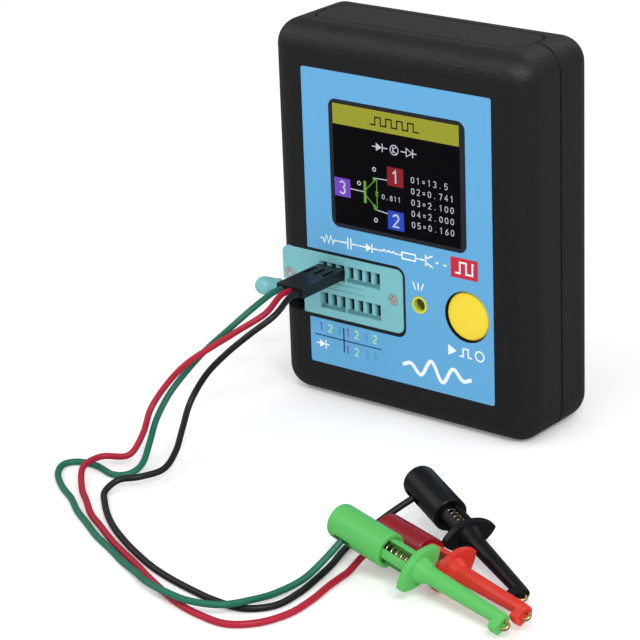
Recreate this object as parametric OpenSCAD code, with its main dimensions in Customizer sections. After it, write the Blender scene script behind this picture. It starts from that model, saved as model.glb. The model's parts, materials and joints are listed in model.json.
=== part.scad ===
// Pocket component tester with a zero-force test socket and three hook-clip leads.
// Millimetres. +X right seen from the front, -Y is the front, +Z up. Origin: middle of the base.

/* [Case] */
// Case width
case_w = 70.5; // [60:0.5:90]
// Case depth, front to back
case_d = 27.3; // [22:0.1:40]
// Case height
case_h = 90; // [80:0.5:120]
// Outer edge radius
case_r = 6; // [3:0.5:8]
// Wall thickness
wall = 2; // [1.5:0.1:3]
// Width of the parting groove
groove = 0.6; // [0.3:0.1:1.2]

/* [Front] */
// Label width
label_w = 52; // [40:0.5:60]
// Label height
label_h = 71.4; // [60:0.1:80]
// Window width
window_w = 37.5; // [30:0.1:45]
// Window height
window_h = 30.3; // [20:0.1:40]
// Start button diameter
button_d = 11.5; // [8:0.1:14]
// How far the start button is pressed in
button_travel = 0.6; // [0.3:0.1:1]
// Number of socket contacts in a row
contacts = 7; // [5:1:8]

/* [Leads] */
// Wire diameter
wire_d = 1.45; // [1:0.05:2]
// Length of a hook clip
clip_len = 47.5; // [40:0.5:60]
// Clip barrel diameter
barrel_d = 7.5; // [6:0.1:9]
// How far the nose of a clip slides back
clip_travel = 6; // [3:0.5:7]
// Plug housing width
plug_w = 2.5; // [2.3:0.02:2.54]

/* [Hidden] */
$fn = 64;
yf = -case_d / 2;
yb = case_d / 2;
inner_r = case_r - wall;
pitch = 2.54;
row_top = 32.6;
row_low = 25.0;
slot_x0 = -21.1;
slot_deep = 0.3;
group_split = 3;
zif_screw_at = [[-1.4, 28.9, 0], [-31.3, 29.8, 45]];
pcb_front = -4.65;
pcb_t = 1.6;
pcb_back = pcb_front + pcb_t;
label_x = 0.35;
label_z = 44.8;
window_x = 0.65;
window_z = 58.95;
button_x = 19.2;
button_z = 28.9;
ir_x = 6.15;
ir_z = 29.2;
ring_r = 2.1;
zx0 = -33.3;
zx1 = 1.4;
zz0 = 21.0;
zz1 = 36.4;
zgap = 0.85;
zfit = 0.25;
pivot_x = -28.4;
pivot_y = -9.2;
lever_z = 25.0;
panel_w = 57;
panel_d = 12.6;
panel_gap = 0.8;
case_screw_x = 27;
case_screw_z = 6.9;
post_x = 26.5;
post_z = [17, 76];
flange_x = 23.4;
barrel_x = 15.4;
wire_r = wire_d / 2;
barrel_r = barrel_d / 2;

// Lead poses: rear end of the clip, tip of the clip, roll of its flange, roll of its wire slot.
pose_green = [[34.9, -81.8, 10.1], [81.25, -89.9, 3.65], 33, 33];
pose_red = [[38.2, -70.3, 4.05], [80.95, -84.55, 4.2], 31, 5];
pose_black = [[35, -54.7, 8.7], [80, -78.4, 2], 10, 20];

route_green = [
    [-21.1, -29.6, 32.6], [-21.1, -33, 32.5], [-22, -39, 30.5], [-25, -44, 26.5],
    [-29.5, -46.5, 21.75], [-33.5, -48.5, 16.75], [-35.5, -53, 12], [-35, -58.5, 7.75],
    [-32.5, -64, 4.5], [-30, -69.5, 2], [-30.25, -73.5, 1], [-33.5, -75.5, 0.75],
    [-39.5, -74, 0.75], [-44.5, -74.5, 0.75], [-46.5, -77.5, 0.75], [-44, -82, 0.75],
    [-38.5, -86.5, 0.75], [-32.5, -90, 0.75], [-27, -94, 0.75], [-21, -97.5, 0.75],
    [-15, -101, 0.75], [-8.5, -104, 0.75], [-2.5, -107, 0.75], [4, -110, 1.25],
    [10, -113.5, 2.25], [16.5, -115.5, 2.75], [23.5, -116, 2.75], [30, -113.75, 2.75],
    [32.75, -107.5, 2], [33.5, -101, 1], [35.5, -94.5, 2], [37.2, -88.5, 5.2],
    [38.8, -83.2, 9.1]];
route_red = [
    [-18.55, -29.6, 32.6], [-18.55, -33, 32.5], [-18.5, -38.5, 30], [-22, -43.5, 27],
    [-26.5, -47.5, 23.5], [-31, -51.5, 19.75], [-34.5, -54.5, 15.25], [-36.5, -58.5, 10],
    [-34.5, -64, 6], [-34.5, -69, 2.75], [-39.5, -72.5, 2.5], [-39, -79, 2.5],
    [-34, -85, 1], [-29, -89, 0.75], [-23.5, -93.5, 0.75], [-17.5, -97, 0.75],
    [-11.5, -100.5, 0.75], [-5.5, -103.5, 0.75], [1, -106.5, 0.75], [7, -109.5, 0.75],
    [13.5, -112.5, 0.75], [19.5, -115, 0.75], [26.5, -116.5, 0.75], [33.5, -116.5, 0.75],
    [38.5, -112.5, 0.75], [41, -106, 0.75], [41, -99, 0.75], [40, -92, 0.75],
    [39.5, -85.5, 0.75], [39.5, -80.5, 2.25], [40.2, -77, 3.5], [41.9, -72.4, 4]];
route_black = [
    [-16, -29.6, 32.6], [-16, -33, 32.5], [-15.5, -39, 30.25], [-19, -44, 26.5],
    [-23, -47.5, 22.25], [-27, -50, 17.25], [-29, -53.5, 11.5], [-27, -59, 7.25],
    [-24.5, -64.5, 4.25], [-22.5, -71, 3], [-24.5, -76.5, 2.75], [-28, -79.5, 2.25],
    [-28.5, -83.5, 1], [-25, -87.5, 0.75], [-20, -92, 0.75], [-14.5, -96, 0.75],
    [-8.5, -99.5, 0.75], [-2.5, -102.5, 0.75], [4.5, -105.5, 0.75], [11, -107.5, 0.75],
    [18, -109, 0.75], [25, -110, 0.75], [32, -109.5, 0.75], [36.5, -105, 0.75],
    [37, -98, 0.75], [36, -91, 0.75], [34.5, -84, 0.75], [32.5, -77, 0.9],
    [33, -70.5, 2.25], [35, -64.5, 4.75], [38.4, -57.2, 7.9]];

green_c = [0.35, 0.85, 0.42];
red_c = [0.85, 0.12, 0.14];
black_c = [0.07, 0.07, 0.08];
wire_green_c = [0.1, 0.42, 0.33];
wire_red_c = [0.72, 0.1, 0.18];
mint_c = [0.5, 0.82, 0.8];

// Vectors
function unit(a) = a / norm(a);
function side(a) = unit(cross([0, 0, 1], a));
function turned(a, roll) = cos(roll) * side(a) + sin(roll) * cross(a, side(a));

// A point on a smooth curve through p, at t from 0 to 1 between points i and i + 1
function at(p, i) = i < 0 ? 2 * p[0] - p[1]
    : i >= len(p) ? 2 * p[len(p) - 1] - p[len(p) - 2]
    : p[i];
function spline(p, i, t) = 0.5 * (2 * at(p, i)
    + (at(p, i + 1) - at(p, i - 1)) * t
    + (2 * at(p, i - 1) - 5 * at(p, i) + 4 * at(p, i + 1) - at(p, i + 2)) * t * t
    + (3 * at(p, i) - at(p, i - 1) - 3 * at(p, i + 1) + at(p, i + 2)) * t * t * t);
function smooth_line(p, n) = concat(
    [for (i = [0:len(p) - 2]) for (k = [0:n - 1]) spline(p, i, k / n)],
    [p[len(p) - 1]]);
function tangent(p, i) = i == 0 ? unit(p[1] - p[0])
    : i == len(p) - 1 ? unit(p[i] - p[i - 1])
    : unit(p[i + 1] - p[i - 1]);
function carried(n, t) = unit(n - (n * t) * t);
function frames(p, i, n) = i >= len(p) ? []
    : let (m = carried(n, tangent(p, i))) concat([m], frames(p, i + 1, m));

// A round tube swept along the points p
module swept(p, r, sides) {
    ns = frames(p, 0, [0.31, 0.2, 0.93]);
    rings = [for (i = [0:len(p) - 1])
        let (t = tangent(p, i), n = ns[i], b = cross(t, n))
        for (k = [0:sides - 1]) p[i] + r * (cos(360 * k / sides) * n + sin(360 * k / sides) * b)];
    last = (len(p) - 1) * sides;
    walls = [for (i = [0:len(p) - 2]) for (k = [0:sides - 1])
        let (a = i * sides + k, b = i * sides + (k + 1) % sides)
        each [[a, a + sides, b + sides], [a, b + sides, b]]];
    ends = [[for (k = [0:sides - 1]) k], [for (k = [sides - 1:-1:0]) last + k]];
    polyhedron(rings, concat(walls, ends), convexity = 8);
}

// Box from its low corner to its high corner
module box(a, b) {
    translate(a) cube([b[0] - a[0], b[1] - a[1], b[2] - a[2]]);
}

// Cylinder along Y from y0 to y1
module ycyl(x, z, y0, y1, r) {
    translate([x, y1, z]) rotate([90, 0, 0]) cylinder(r = r, h = y1 - y0);
}

// Plate with round corners in the XZ plane, from y0 to y1
module yplate(x0, x1, z0, z1, y0, y1, r) {
    union() {
        box([x0 + r, y0, z0], [x1 - r, y1, z1]);
        box([x0, y0, z0 + r], [x1, y1, z1 - r]);
        for (x = [x0 + r, x1 - r])
            for (z = [z0 + r, z1 - r])
                ycyl(x, z, y0, y1, r);
    }
}

// Plate with round corners in the XY plane, from z0 to z1
module zplate(w, d, z0, z1, r) {
    union() {
        box([-w / 2 + r, -d / 2, z0], [w / 2 - r, d / 2, z1]);
        box([-w / 2, -d / 2 + r, z0], [w / 2, d / 2 - r, z1]);
        for (x = [-1, 1])
            for (y = [-1, 1])
                translate([x * (w / 2 - r), y * (d / 2 - r), z0]) cylinder(r = r, h = z1 - z0);
    }
}

// Upright bar with hemispherical ends
module capsule(r, z0, z1) {
    rotate_extrude() intersection() {
        union() {
            translate([0, z0 + r]) circle(r = r);
            translate([0, z1 - r]) circle(r = r);
            translate([0, z0 + r]) square([r, z1 - z0 - 2 * r]);
        }
        translate([0, z0]) square([r * 2, z1 - z0]);
    }
}

// Bar along X with a round-cornered section
module xbar(x, d, z0, z1, r) {
    rotate([90, 0, 90]) translate([0, 0, -x]) linear_extrude(height = 2 * x) union() {
        translate([-d / 2 + r, z0]) square([d - 2 * r, z1 - z0]);
        translate([-d / 2, z0 + r]) square([d, z1 - z0 - 2 * r]);
        for (i = [-1, 1])
            for (k = [z0 + r, z1 - r])
                translate([i * (d / 2 - r), k]) circle(r = r);
    }
}

// Box standing on z0 with every edge and corner rounded to r
module rbox(w, d, z0, z1, r) {
    union() {
        xbar(w / 2 - r, d, z0, z1, r);
        yplate(-w / 2, w / 2, z0, z1, -d / 2 + r, d / 2 - r, r);
        for (i = [-1, 1])
            for (j = [-1, 1])
                translate([i * (w / 2 - r), j * (d / 2 - r), 0]) capsule(r, z0, z1);
    }
}

module shell_body() {
    x = case_w / 2;
    difference() {
        rbox(case_w, case_d, 0, case_h, case_r);
        yplate(-x + wall, x - wall, wall, case_h - wall, -9.5, 9.5, inner_r);
        yplate(-x + 4.25, x - 4.25, 4.25, case_h - 4.25, yf + wall, yb - wall, 3);
        translate([0, 0, -1])
            zplate(panel_w + panel_gap, panel_d + panel_gap, 0, 4, 4 + panel_gap / 2);
        translate([0, 0, case_h - 3])
            zplate(panel_w + panel_gap, panel_d + panel_gap, 0, 4, 4 + panel_gap / 2);
        difference() {
            box([-50, -groove / 2, -5], [50, groove / 2, case_h + 5]);
            yplate(-x + 0.35, x - 0.35, 0.35, case_h - 0.35, -2, 2, case_r - 0.35);
        }
    }
}

// The part of the case in front of the parting plane; the back is its mirror image
module half_shell() {
    intersection() {
        shell_body();
        box([-50, -20, -5], [50, 0, 100]);
    }
}

module front_shell() {
    color(black_c) difference() {
        union() {
            half_shell();
            for (x = [-1, 1])
                for (z = post_z)
                    ycyl(x * post_x, z, yf + wall - 0.2, pcb_front, 2.6);
            for (x = [-1, 1])
                for (z = [case_screw_z, case_h - case_screw_z])
                    ycyl(x * case_screw_x, z, yf + wall - 0.2, -0.05, 3);
        }
        yplate(window_x - 18.85, window_x + 18.85, window_z - 15.25, window_z + 15.25,
            yf - 1, yf + 1.25, 2.1);
        box([window_x - 17.6, yf, window_z - 14], [window_x + 17.6, yf + 4, window_z + 14]);
        yplate(zx0 - zfit, zx1 + zfit, zz0 - zfit, zz1 + zfit, yf - 1, pcb_front, 2);
        box([-40, yf - 1, 22.4], [-33, -7.6, 27.6]);
        ycyl(button_x, button_z, yf - 1, yf + 4, button_d / 2 + 0.3);
        ycyl(ir_x, ir_z, yf - 1, yf + 4, ring_r + 0.05);
        for (x = [-1, 1])
            for (z = post_z)
                ycyl(x * post_x, z, pcb_front - 5, pcb_front + 1, 0.9);
        for (x = [-1, 1])
            for (z = [case_screw_z, case_h - case_screw_z])
                ycyl(x * case_screw_x, z, -8, 1, 0.95);
    }
}

module back_shell() {
    color(black_c) difference() {
        union() {
            mirror([0, 1, 0]) half_shell();
            for (x = [-1, 1])
                for (z = [case_screw_z, case_h - case_screw_z])
                    ycyl(x * case_screw_x, z, 0.05, yb - wall + 0.2, 3);
            for (z = [24, 70])
                box([-24, 7, z - 0.6], [-18.5, yb - wall + 0.2, z + 0.6]);
            for (z = [24, 70])
                box([18.5, 7, z - 0.6], [24, yb - wall + 0.2, z + 0.6]);
        }
        for (x = [-1, 1])
            for (z = [case_screw_z, case_h - case_screw_z]) {
                ycyl(x * case_screw_x, z, -1, yb + 1, 1.3);
                ycyl(x * case_screw_x, z, yb - 2.6, yb + 1, 2.7);
            }
    }
}

// Inset end panel, its outer face at z = 0 and its lip inside the case
module end_panel() {
    union() {
        zplate(panel_w, panel_d, 0, wall + 0.01, 4);
        zplate(panel_w + 1.5, panel_d + 1.5, wall + 0.02, wall + 1, 4.6);
        zplate(panel_w - 1, panel_d - 1, wall - 0.5, wall + 0.5, 3.5);
    }
}

module top_end_panel() {
    color(black_c) translate([0, 0, case_h]) mirror([0, 0, 1]) end_panel();
}

module bottom_end_panel() {
    color(black_c) difference() {
        end_panel();
        box([-4.2, -3.45, -1], [4.2, -0.05, 5]);
        translate([9.5, -1.9, -1]) cylinder(r = 0.95, h = 6);
    }
}

module case_screws() {
    color([0.2, 0.2, 0.21])
        for (x = [-1, 1])
            for (z = [case_screw_z, case_h - case_screw_z])
                difference() {
                    union() {
                        ycyl(x * case_screw_x, z, yb - 2.55, yb - 1, 2.4);
                        ycyl(x * case_screw_x, z, -6.5, yb - 2.5, 0.9);
                    }
                    for (a = [0, 90])
                        translate([x * case_screw_x, yb - 1, z]) rotate([0, a, 0])
                            cube([2.6, 1.6, 0.6], center = true);
                }
}

module front_label() {
    color([0.38, 0.7, 0.9]) difference() {
        yplate(label_x - label_w / 2, label_x + label_w / 2, label_z - label_h / 2,
            label_z + label_h / 2, yf - 0.15, yf - 0.005, 0.6);
        yplate(window_x - 18.8, window_x + 18.8, window_z - 15.2, window_z + 15.2,
            yf - 1, yf + 1, 2.05);
        yplate(zx0 - zgap - 4, zx1 + zgap, zz0 - zgap, zz1 + zgap, yf - 1, yf + 1, 2.5);
        ycyl(button_x, button_z, yf - 1, yf + 1, button_d / 2 + 0.3);
        ycyl(ir_x, ir_z, yf - 1, yf + 1, ring_r + 0.05);
    }
}

module display_window() {
    color([0.05, 0.05, 0.07])
        yplate(window_x - window_w / 2, window_x + window_w / 2, window_z - window_h / 2,
            window_z + window_h / 2, yf - 0.12, yf + 1.2, 2);
}

module display_glass() {
    color([0.02, 0.02, 0.03])
        box([-17.6, -11.6, 44.2], [18.7, -10.9, 73.6]);
}

module display_frame() {
    color([0.85, 0.86, 0.86]) difference() {
        box([-17.0, -10.88, 44.2], [18.3, -7.6, 73.6]);
        box([-15.5, -9, 46], [16.5, -7, 72]);
    }
}

module display_header() {
    color([0.1, 0.1, 0.1]) union() {
        box([-9.5, -7.55, 70.1], [10.8, pcb_front, 72.5]);
        box([-9.5, -7.55, 45.6], [10.8, pcb_front, 48.0]);
    }
}

module main_board() {
    color([0.08, 0.3, 0.16]) difference() {
        union() {
            box([-30, pcb_front, 12], [30, pcb_back, 80]);
            box([-22, pcb_front, 3.2], [22, pcb_back, 12]);
        }
        for (x = [-1, 1])
            for (z = post_z)
                ycyl(x * post_x, z, -6, 0, 1.1);
        for (i = [0:contacts - 1])
            for (z = [row_top, row_low])
                box([slot_x0 + i * pitch - 0.3, -6, z - 0.3], [slot_x0 + i * pitch + 0.3, 0, z + 0.3]);
    }
}

module board_screws() {
    color([0.75, 0.75, 0.76])
        for (x = [-1, 1])
            for (z = post_z)
                difference() {
                    union() {
                        ycyl(x * post_x, z, pcb_back, pcb_back + 1.4, 2.1);
                        ycyl(x * post_x, z, pcb_front - 4, pcb_back + 0.5, 0.85);
                    }
                    for (a = [0, 90])
                        translate([x * post_x, pcb_back + 1.4, z]) rotate([0, a, 0])
                            cube([2.4, 1.4, 0.5], center = true);
                }
}

// Outline shared by the socket's base and cover, with the lever's notch cut out of it
module zif_outline(y0, y1) {
    difference() {
        yplate(zx0, zx1, zz0, zz1, y0, y1, 1.8);
        box([zx0 - 1, y0 - 1, zz0 - 1], [-27.3, y1 + 1, 28]);
    }
}

module zif_base() {
    color(mint_c) difference() {
        union() {
            zif_outline(-11.4, pcb_front - 0.02);
            box([-32.5, -7.9, 21.6], [-27, pcb_front - 0.02, 28.2]);
        }
        box([-30.2, -12, 22.3], [-2.9, -10.2, 35.3]);
        box([-29.35, -12, 22.3], [-27.45, pivot_y, 34.9]);
        translate([pivot_x, pivot_y, 22.3]) cylinder(r = 0.95, h = 12.6);
        box([-30.2, -12, 28.8], [-25.3, -8, 31.6]);
        for (i = [0:contacts - 1])
            for (z = [row_top, row_low])
                box([slot_x0 + i * pitch - 0.66, -12, z - 1.6],
                    [slot_x0 + i * pitch + 0.66, -5.4, z + 1.6]);
        for (i = [0:contacts - 1])
            for (z = [row_top, row_low])
                box([slot_x0 + i * pitch - 0.3, -6, z - 0.3],
                    [slot_x0 + i * pitch + 0.3, -4, z + 0.3]);
        ycyl(-1.4, 28.9, -12, -6.5, 0.85);
        ycyl(zif_screw_at[1][0], zif_screw_at[1][1], -12, -6.5, 0.85);
    }
}

// Opening of one contact, with a slope that leads a wire in from the left
module slot_cut() {
    box([-0.36, yf - 1, -1.05], [0.68, -11, 1.95]);
    translate([0, 0, -1.05]) linear_extrude(3)
        polygon([[-1.1, yf - 0.1], [-1.1, yf + slot_deep], [-0.3, yf + 1.5], [0, yf + 1.5],
            [0, yf - 0.1]]);
}

// Shallow recess round contacts a to b, deeper along its lower edge
module slot_recess(a, b, z) {
    x0 = slot_x0 + a * pitch - 1.3;
    x1 = slot_x0 + b * pitch + 0.85;
    box([x0, yf - 1, z - 1.95], [x1, yf + slot_deep, z + 1.95]);
    box([x0, yf - 1, z - 1.95], [x1, yf + 0.75, z - 1.04]);
}

module zif_cover() {
    color(mint_c) difference() {
        zif_outline(yf, -11.42);
        for (z = [row_top - 0.15, row_low - 0.15]) {
            for (i = [0:contacts - 1])
                translate([slot_x0 + i * pitch, 0, z]) slot_cut();
            slot_recess(0, group_split - 1, z);
            slot_recess(group_split, contacts - 1, z);
        }
        box([slot_x0 - 1, yf - 1, 28], [slot_x0 + 4.5 * pitch, yf + 0.12, 28.2]);
        box([slot_x0 - 1, yf - 1, 29.5], [slot_x0 + 4.5 * pitch, yf + 0.12, 29.7]);
        for (p = zif_screw_at) {
            ycyl(p[0], p[1], yf - 1, -10, 0.95);
            ycyl(p[0], p[1], yf - 1, yf + 0.9, 1.4);
        }
    }
}

module zif_slide() {
    color([0.45, 0.76, 0.74]) difference() {
        union() {
            box([-29.95, -11.35, 22.5], [-4.3, -10.26, 35.1]);
            box([-29.95, -10.3, 29], [-27, -8.2, 31.4]);
        }
        box([-29.55, -10.75, 28.5], [-28.45, -7, 32]);
        box([-31, -12, 22], [-26.4, -9, 28.3]);
        for (i = [0:contacts - 1])
            for (z = [row_top, row_low])
                box([slot_x0 + i * pitch - 1.62, -12, z - 1.6],
                    [slot_x0 + i * pitch + 0.42, -10, z + 1.6]);
    }
}

module zif_contacts() {
    color([0.85, 0.82, 0.7])
        for (i = [0:contacts - 1])
            for (z = [row_top, row_low])
                translate([slot_x0 + i * pitch, 0, z]) union() {
                    box([-0.62, -10.1, -0.9], [-0.4, -5.45, 0.9]);
                    box([0.4, -10.1, -0.9], [0.62, -5.45, 0.9]);
                    box([-0.62, -5.9, -0.9], [0.62, -5.45, 0.9]);
                    box([-0.24, -5.7, -0.24], [0.24, -1.6, 0.24]);
                }
}

module zif_lever() {
    color([0.75, 0.76, 0.77]) union() {
        translate([pivot_x, pivot_y, 22.5]) cylinder(r = 0.85, h = 6.45);
        translate([pivot_x, pivot_y, 31.45]) cylinder(r = 0.85, h = 3.25);
        translate([pivot_x - 0.6, pivot_y - 0.6, 28.85]) cylinder(r = 0.5, h = 2.7);
        translate([pivot_x, pivot_y, lever_z]) rotate([0, -90, 0]) cylinder(r = 0.75, h = 6.3);
        translate([pivot_x - 6.3, pivot_y, lever_z]) sphere(r = 0.75);
        translate([pivot_x - 6.3, pivot_y, lever_z]) rotate([0, -90, 46]) cylinder(r = 0.75, h = 5.5);
    }
}

module zif_lever_knob() {
    color(mint_c)
        translate([pivot_x - 6.3, pivot_y, lever_z]) rotate([0, -90, 46]) difference() {
            rotate_extrude() polygon(concat(
                [[0, 2.2], [1.15, 2.2], [1.35, 2.5], [1.6, 4], [2.15, 5.9]],
                [for (a = [0:15:90]) [2.15 * cos(a), 6.5 + 2.15 * sin(a)]]));
            translate([0, 0, 2]) cylinder(r = 0.75, h = 3.5);
        }
}

module zif_screws() {
    color([0.8, 0.8, 0.8])
        for (p = zif_screw_at)
            difference() {
                union() {
                    ycyl(p[0], p[1], yf + 0.05, yf + 0.9, 1.3);
                    ycyl(p[0], p[1], yf + 0.9, -8.5, 0.8);
                }
                for (a = [0, 90])
                    translate([p[0], yf + 0.2, p[1]]) rotate([0, a + p[2], 0])
                        cube([1.9, 0.7, 0.4], center = true);
            }
}

module start_button() {
    color([0.98, 0.8, 0.1]) translate([button_x, 0, button_z]) rotate([90, 0, 0])
        rotate_extrude() polygon([[0, 10.1], [1.5, 10.1], [1.5, 10.9], [6.6, 10.9],
            [6.6, 11.55], [button_d / 2, 11.55], [button_d / 2, 12.9], [5.6, 13.15],
            [5.3, 13.3], [4.2, 13.4], [2.2, 13.48], [0, 13.5]]);
}

module switch_body() {
    color([0.12, 0.12, 0.13]) difference() {
        union() {
            box([button_x - 3, -8.15, button_z - 3], [button_x + 3, pcb_front, button_z + 3]);
            for (x = [-1, 1])
                for (z = [-1, 1])
                    box([button_x + x * 3 - 0.5, -6, button_z + z * 2.2 - 0.35],
                        [button_x + x * 3 + 0.5, pcb_front, button_z + z * 2.2 + 0.35]);
        }
        ycyl(button_x, button_z, -9, -6.4, 1.8);
    }
}

module switch_plunger() {
    color([0.9, 0.88, 0.8]) ycyl(button_x, button_z, -10.1, -7.2, 1.7);
}

module ir_ring() {
    color([0.85, 0.82, 0.15]) difference() {
        ycyl(ir_x, ir_z, yf - 0.2, yf + wall, ring_r);
        ycyl(ir_x, ir_z, yf - 1, yf + wall + 1, 1.52);
    }
}

module ir_receiver() {
    color([0.05, 0.05, 0.06]) union() {
        box([ir_x - 2.4, -8.4, ir_z - 2.6], [ir_x + 2.4, pcb_front, ir_z + 2.6]);
        ycyl(ir_x, ir_z, -11.9, -8.3, 1.45);
        translate([ir_x, -11.9, ir_z]) sphere(r = 1.45);
    }
}

module battery() {
    color([0.72, 0.74, 0.76]) union() {
        box([-14, 4, 22], [14, 10.4, 70]);
        for (x = [-1, 1])
            translate([x * 14, 7.2, 22]) cylinder(r = 3.2, h = 48);
        box([-8, 5, 70], [8, 9.4, 72]);
    }
}

module battery_pad() {
    color([0.15, 0.15, 0.15]) box([-13, 10.42, 30], [13, yb - wall - 0.02, 62]);
}

module battery_connector() {
    color([0.93, 0.92, 0.88]) box([-3.5, pcb_back + 0.01, 71], [3.5, -0.1, 76.5]);
}

module battery_leads() {
    color([0.7, 0.1, 0.1])
        for (x = [-1, 1])
            translate([x * 1.2, 0, 0]) union() {
                translate([0, 7.2, 72]) cylinder(r = 0.5, h = 2);
                translate([0, 7.2, 74]) sphere(r = 0.5);
                ycyl(0, 74, -0.1, 7.2, 0.5);
            }
}

module usb_port() {
    color([0.78, 0.78, 0.8]) difference() {
        box([-3.75, pcb_back, 0.3], [3.75, pcb_back + 2.6, 5.6]);
        box([-3.4, pcb_back + 0.35, -1], [3.4, pcb_back + 2.25, 4.9]);
        box([-5, pcb_back - 1, -1], [-3.3, pcb_back + 0.7, 8]);
        box([3.3, pcb_back - 1, -1], [5, pcb_back + 0.7, 8]);
    }
    color([0.1, 0.1, 0.1]) box([-2.2, pcb_back + 1.0, 1.2], [2.2, pcb_back + 1.5, 4.95]);
}

module charge_led() {
    color([0.9, 0.3, 0.2]) union() {
        box([8.5, pcb_back, 3.6], [10.5, pcb_back + 2.2, 5.6]);
        translate([9.5, -1.9, 0.2]) cylinder(r = 0.8, h = 3.6);
    }
}

module microcontroller() {
    color([0.06, 0.06, 0.07]) union() {
        box([-3.5, pcb_back + 0.1, 46.5], [3.5, pcb_back + 1.1, 53.5]);
        for (i = [0:7])
            for (a = [0:90:270])
                translate([0, 0, 50]) rotate([0, a, 0])
                    box([3.4, pcb_back, -2.95 + i * 0.8], [4.5, pcb_back + 0.5, -2.65 + i * 0.8]);
    }
}

module charger_chip() {
    color([0.06, 0.06, 0.07]) union() {
        box([-14, pcb_back + 0.1, 9], [-10, pcb_back + 1.6, 14]);
        for (i = [0:3])
            for (x = [-1, 1])
                box([-12 + x * 2.5 - 0.6, pcb_back, 9.4 + i * 1.27],
                    [-12 + x * 2.5 + 0.6, pcb_back + 0.6, 9.8 + i * 1.27]);
    }
}

module crystal() {
    color([0.8, 0.8, 0.82]) union() {
        box([9, pcb_back, 47.8], [15, pcb_back + 3.2, 52.2]);
        ycyl(9, 50, pcb_back, pcb_back + 3.2, 2.2);
        ycyl(15, 50, pcb_back, pcb_back + 3.2, 2.2);
    }
}

// A lead's single-pin plug, its front face at the socket
module plug_housing(x) {
    difference() {
        box([x - plug_w / 2, -29.6, row_top - plug_w / 2], [x + plug_w / 2, -14.0, row_top + plug_w / 2]);
        ycyl(x, row_top, -30, -22, wire_r + 0.02);
        box([x - 0.34, -23, row_top - 0.34], [x + 0.34, -13, row_top + 0.34]);
        box([x - 0.6, -20.5, row_top + 0.8], [x + 0.6, -16.5, row_top + 2]);
    }
}

module plug_pin(x) {
    box([x - 0.32, -21.9, row_top - 0.32], [x + 0.32, -6.2, row_top + 0.32]);
}

// A lead's wire, from inside its plug to inside its clip's barrel
module lead(route) {
    line = [for (p = smooth_line(route, 2)) [p[0], p[1], max(p[2], wire_r + 0.02)]];
    swept(concat([[route[0][0], -26, row_top]], line), wire_r, 8);
}

// Puts a clip part, drawn along +X from its rear end with its flange along Y, in its place
module on_clip(pose) {
    a = unit(pose[1] - pose[0]);
    v = turned(a, pose[2]);
    w = cross(a, v);
    multmatrix([[a[0], v[0], w[0], pose[0][0]], [a[1], v[1], w[1], pose[0][1]],
        [a[2], v[2], w[2], pose[0][2]], [0, 0, 0, 1]]) children();
}

// Solid of revolution about X, from [x, r] points
module turned_x(points) {
    rotate([90, 0, 90]) rotate_extrude() polygon([for (p = points) [p[1], p[0]]]);
}

module clip_barrel(pose) {
    on_clip(pose) difference() {
        turned_x([[0, 0], [0, barrel_r - 0.9], [0.12, barrel_r - 0.5], [0.4, barrel_r - 0.16],
            [0.9, barrel_r], [barrel_x - 0.2, barrel_r], [barrel_x, barrel_r - 0.2],
            [barrel_x, 2.82], [barrel_x - 0.7, 2.82], [barrel_x - 0.7, 3.05],
            [1.4, 3.05], [1.4, 0.42], [0.8, 0.42], [0.8, 0]]);
        rotate([pose[3] - pose[2], 0, 0]) union() {
            box([3.2, -5, -1.15], [6.6, -1.5, 1.15]);
            for (x = [3.2, 6.6])
                translate([x, -1.5, 0]) rotate([90, 0, 0]) cylinder(r = 1.15, h = 3.5);
        }
    }
}

module clip_hook(pose) {
    on_clip(pose) union() {
        translate([0.85, 0, 0]) rotate([0, 90, 0]) cylinder(r = 0.4, h = clip_len - 0.35);
        translate([1.45, 0, 0]) rotate([0, 90, 0]) cylinder(r = 0.8, h = 7);
        translate([12.2, 0, 0]) rotate([0, 90, 0]) cylinder(r = 1.6, h = 0.9);
        translate([clip_len + 0.5, -0.8, 0]) rotate([0, 0, -90]) rotate_extrude(angle = 180)
            translate([0.8, 0]) circle(r = 0.4, $fn = 24);
    }
}

module clip_spring(pose) {
    x0 = 13.35;
    x1 = flange_x - 1.05;
    turns = 6.5;
    steps = 91;
    a = unit(pose[1] - pose[0]);
    v = turned(a, pose[2]);
    w = cross(a, v);
    helix = [for (i = [0:steps])
        let (s = i / steps, q = 360 * turns * s)
        pose[0] + a * (x0 + (x1 - x0) * s) + v * 1.35 * cos(q) + w * 1.35 * sin(q)];
    swept(helix, 0.2, 6);
}

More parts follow.
